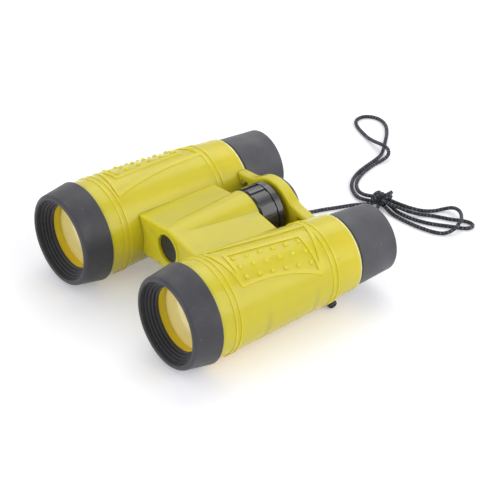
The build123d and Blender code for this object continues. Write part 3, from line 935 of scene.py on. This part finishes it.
@dataclass
class NeckCord:
    """The whole cord: a strand from each eyelet, the knot, the wrist loop and two folded loops."""

    finish: BraidedCord = field(default_factory=BraidedCord)
    right_strand: CordRun = field(default_factory=lambda: CordRun("right_strand", 0.0801, [
        (0.0385, 0.02405, 0.0020), (0.0326, 0.02405, 0.0020), (0.0272, 0.0270, 0.0012),
        (0.0234, 0.0318, 0.0008), (0.0222, 0.0380, 0.0008), (0.0216, 0.0446, 0.0008),
        (0.0196, 0.0510, 0.0008), (0.0162, 0.0570, 0.0008), (0.0116, 0.0624, 0.0008),
        (0.0076, 0.0683, 0.0008), (0.0026, 0.0735, 0.0008), (-0.0006, 0.0796, 0.0012),
        (-0.0046, 0.0858, 0.0025),
    ]))
    left_strand: CordRun = field(default_factory=lambda: CordRun("left_strand", 0.0762, [
        (-0.0385, 0.02405, 0.0020), (-0.0326, 0.02405, 0.0020), (-0.0276, 0.0272, 0.0012),
        (-0.0246, 0.0328, 0.0008), (-0.0262, 0.0388, 0.0008), (-0.026, 0.0452, 0.0008),
        (-0.0222, 0.0524, 0.0008), (-0.0176, 0.0586, 0.0008), (-0.0158, 0.0652, 0.0008),
        (-0.0132, 0.0716, 0.0008), (-0.0112, 0.0774, 0.0008), (-0.007, 0.0822, 0.0014),
        (-0.0052, 0.0860, 0.0024),
    ]))
    wrist_loop: CordRun = field(default_factory=lambda: CordRun("wrist_loop", 0.1729, [
        (-0.0056, 0.0876, 0.0036), (-0.0100, 0.0844, 0.0029), (-0.0148, 0.0839, 0.0020),
        (-0.0200, 0.0860, 0.0010), (-0.0240, 0.0891, 0.0008), (-0.0268, 0.0930, 0.0008),
        (-0.0288, 0.0972, 0.0008), (-0.0302, 0.1016, 0.0008), (-0.0312, 0.1059, 0.0008),
        (-0.0310, 0.1096, 0.0012), (-0.0312, 0.1126, 0.0024), (-0.0340, 0.1146, 0.0034),
        (-0.0386, 0.1146, 0.0034), (-0.0438, 0.1152, 0.0020), (-0.0493, 0.1163, 0.0008),
        (-0.0546, 0.1173, 0.0008), (-0.0594, 0.1186, 0.0008), (-0.0633, 0.1207, 0.0008),
        (-0.0650, 0.1239, 0.0008), (-0.0644, 0.1273, 0.0008), (-0.0616, 0.1298, 0.0008),
        (-0.0576, 0.1307, 0.0008), (-0.0528, 0.1293, 0.0008), (-0.0476, 0.1254, 0.0008),
        (-0.0428, 0.1204, 0.0008), (-0.0384, 0.1159, 0.0008), (-0.0352, 0.1119, 0.0008),
        (-0.0335, 0.1076, 0.0008), (-0.0323, 0.1030, 0.0008), (-0.0311, 0.0985, 0.0008),
        (-0.0295, 0.0940, 0.0008), (-0.0270, 0.0897, 0.0008), (-0.0236, 0.0860, 0.0008),
        (-0.0192, 0.0834, 0.0008), (-0.0146, 0.0820, 0.0009), (-0.0094, 0.0829, 0.0017),
        (-0.0050, 0.0854, 0.0022),
    ]))
    upper_fold: CordRun = field(default_factory=lambda: CordRun("upper_fold", 0.0866, [
        (-0.005, 0.0874, 0.0038), (-0.0008, 0.0884, 0.0037), (0.0032, 0.0904, 0.0030),
        (0.0064, 0.0936, 0.0016), (0.0096, 0.0969, 0.0008), (0.0122, 0.1006, 0.0008),
        (0.0136, 0.1040, 0.0012), (0.0156, 0.1064, 0.0020), (0.0188, 0.1066, 0.0029),
        (0.0226, 0.1053, 0.0034), (0.0259, 0.1028, 0.0034), (0.0282, 0.0996, 0.0034),
        (0.0289, 0.0959, 0.0019), (0.0276, 0.0924, 0.0008), (0.0244, 0.0898, 0.0008),
        (0.0198, 0.0880, 0.0008), (0.0146, 0.0866, 0.0008), (0.0090, 0.0856, 0.0008),
        (0.0032, 0.0851, 0.0008), (-0.0014, 0.0856, 0.0016), (-0.005, 0.0860, 0.0020),
    ]))
    lower_fold: CordRun = field(default_factory=lambda: CordRun("lower_fold", 0.0837, [
        (-0.0044, 0.0856, 0.0036), (-0.0002, 0.0862, 0.0037), (0.0040, 0.0878, 0.0033),
        (0.0076, 0.0905, 0.0020), (0.0107, 0.0937, 0.0010), (0.0136, 0.0969, 0.0008),
        (0.0172, 0.0993, 0.0008), (0.0210, 0.1016, 0.0008), (0.0244, 0.1046, 0.0008),
        (0.0274, 0.1063, 0.0008), (0.0300, 0.1057, 0.0008), (0.0306, 0.1032, 0.0008),
        (0.0288, 0.1008, 0.0008), (0.0252, 0.0982, 0.0008), (0.0214, 0.0950, 0.0008),
        (0.0174, 0.0921, 0.0008), (0.0129, 0.0899, 0.0008), (0.0080, 0.0884, 0.0008),
        (0.0030, 0.0878, 0.0008), (-0.0012, 0.0880, 0.0016), (-0.0046, 0.0878, 0.0020),
    ]))

    def build(self, palette: Palette) -> None:
        """Args:
            palette: Where the materials are kept.
        """
        knot = BindingKnot().build(self.finish, palette)
        stoppers = {side: StopperKnot(side).build(self.finish, palette) for side in Side}
        for run in (self.right_strand, self.left_strand, self.wrist_loop, self.upper_fold, self.lower_fold):
            piece, line = run.build(self.finish, palette)


@dataclass(frozen=True)
class Lamp:
    """Square soft lamp aimed at the binoculars."""

    name: str
    place: Point
    size: float
    power: float
    colour: Colour = (1.0, 1.0, 1.0)
    target: Point = (0.0, 0.0, 0.02)

    def hang(self) -> None:
        """Put the lamp in its place, facing its target."""
        light = bpy.data.lights.new(self.name, "AREA")
        light.shape = "SQUARE"
        light.size = self.size
        light.energy = self.power
        light.color = self.colour
        lamp = bpy.data.objects.new(self.name, light)
        bpy.context.scene.collection.objects.link(lamp)
        lamp.location = self.place
        aim = Vector(self.target) - lamp.location
        lamp.rotation_euler = aim.to_track_quat("-Z", "Y").to_euler()


@dataclass
class Studio:
    """Floor, soft lights, plain surroundings and the camera."""

    floor_half: float = 3.0
    floor_colour: Colour = (0.78, 0.79, 0.84)
    floor_seen: Colour = (0.95, 0.95, 0.99)
    floor_glow: float = 0.26
    sky: Colour = (0.97, 0.98, 1.0)
    sky_strength: float = 0.55
    lamps: tuple[Lamp, ...] = (
        Lamp("key_lamp", place=(-0.50, 0.60, 1.10), size=1.0, power=5.0, colour=(1.0, 0.99, 0.97)),
        Lamp("fill_lamp", place=(1.00, 0.40, 0.60), size=1.0, power=6.0),
        Lamp("front_lamp", place=(-0.10, -1.20, 0.24), size=0.8, power=5.6),
    )
    camera_place: Point = (0.61967, -0.45666, 0.51368)
    camera_target: Point = (0.02004, -0.00150, 0.02754)
    camera_roll: float = 0.15
    lens: float = 174.6
    sensor: float = 36.0

    def floor(self) -> None:
        """Pale table top, shown a little brighter to the camera, in gloss and through glass."""
        half = self.floor_half
        mesh = bpy.data.meshes.new("table_top")
        corners = [(-half, -half, 0.0), (half, -half, 0.0), (half, half, 0.0), (-half, half, 0.0)]
        mesh.from_pydata(corners, [], [(0, 1, 2, 3)])
        table = bpy.data.objects.new("table_top", mesh)
        bpy.context.scene.collection.objects.link(table)
        graph = Graph("pale_table")
        seen = graph.seen()
        graph.drive("Base Color", graph.mix(seen, self.floor_colour, self.floor_seen))
        graph.set(Roughness=0.9, Specular_IOR_Level=0.1, Emission_Color=(1.0, 1.0, 1.0, 1.0))
        graph.drive("Emission Strength", graph.math("MULTIPLY", seen, self.floor_glow))
        mesh.materials.append(graph.material)

    def surroundings(self) -> None:
        """Even pale sky, shown white to the camera, in gloss and through glass."""
        world = bpy.data.worlds.new("pale_sky")
        bpy.context.scene.world = world
        world.use_nodes = True
        graph = Nodes(world.node_tree)
        background = graph.nodes["Background"].inputs
        graph.feed(background["Color"], (*self.sky, 1.0))
        level = graph.span(graph.seen(), start=0.0, end=1.0, low=self.sky_strength)
        graph.feed(background["Strength"], level)

    def camera(self) -> None:
        """Camera at the photograph's angle."""
        data = bpy.data.cameras.new("photo_camera")
        data.lens = self.lens
        data.sensor_width = self.sensor
        data.sensor_fit = "HORIZONTAL"
        camera = bpy.data.objects.new("photo_camera", data)
        bpy.context.scene.collection.objects.link(camera)
        camera.location = self.camera_place
        aim = Vector(self.camera_target) - camera.location
        turn = aim.to_track_quat("-Z", "Y") @ Quaternion((0.0, 0.0, 1.0), math.radians(self.camera_roll))
        camera.rotation_euler = turn.to_euler()
        bpy.context.scene.camera = camera

    def build(self) -> None:
        """Set up the whole studio."""
        bpy.context.scene.view_settings.view_transform = "Standard"
        self.floor()
        self.surroundings()
        for lamp in self.lamps:
            lamp.hang()
        self.camera()


def main() -> None:
    """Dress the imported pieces, wind the cord and set up the studio."""
    logging.basicConfig(level=logging.INFO, format="%(name)s %(message)s")
    palette = Palette()
    Studio().build()
    NeckCord().build(palette)
    groups = (
        RigidGroup("barrels", TranslucentPlastic.walled(), ("barrel",)),
        RigidGroup("bridge", TranslucentPlastic.streaked(), (), ("bridge_housing", "rear_yoke")),
        RigidGroup("lens rings", TranslucentPlastic.glowing(), ("objective_lens_ring",)),
        RigidGroup("hoods", SoftRubber(), ("objective_hood",)),
        RigidGroup("eyecups", SoftRubber.paler(), ("eyecup",)),
        RigidGroup("optics", ClearLens(), ("objective_lens", "eye_lens")),
        RigidGroup(
            "works", SatinPlastic(), ("eyepiece_tube", "eye_lens_ring"),
            ("bridge_base", "focus_wheel", "shaft_cap", "focus_carriage"),
        ),
        RigidGroup("shaft", SatinPlastic.dull(), (), ("focus_shaft",)),
        RigidGroup("fasteners", ScrewSteel(), (), ("base_screws", "yoke_screws", "carriage_screws")),
    )
    for group in groups:
        group.dress(palette)


if __name__ == "__main__":
    main()
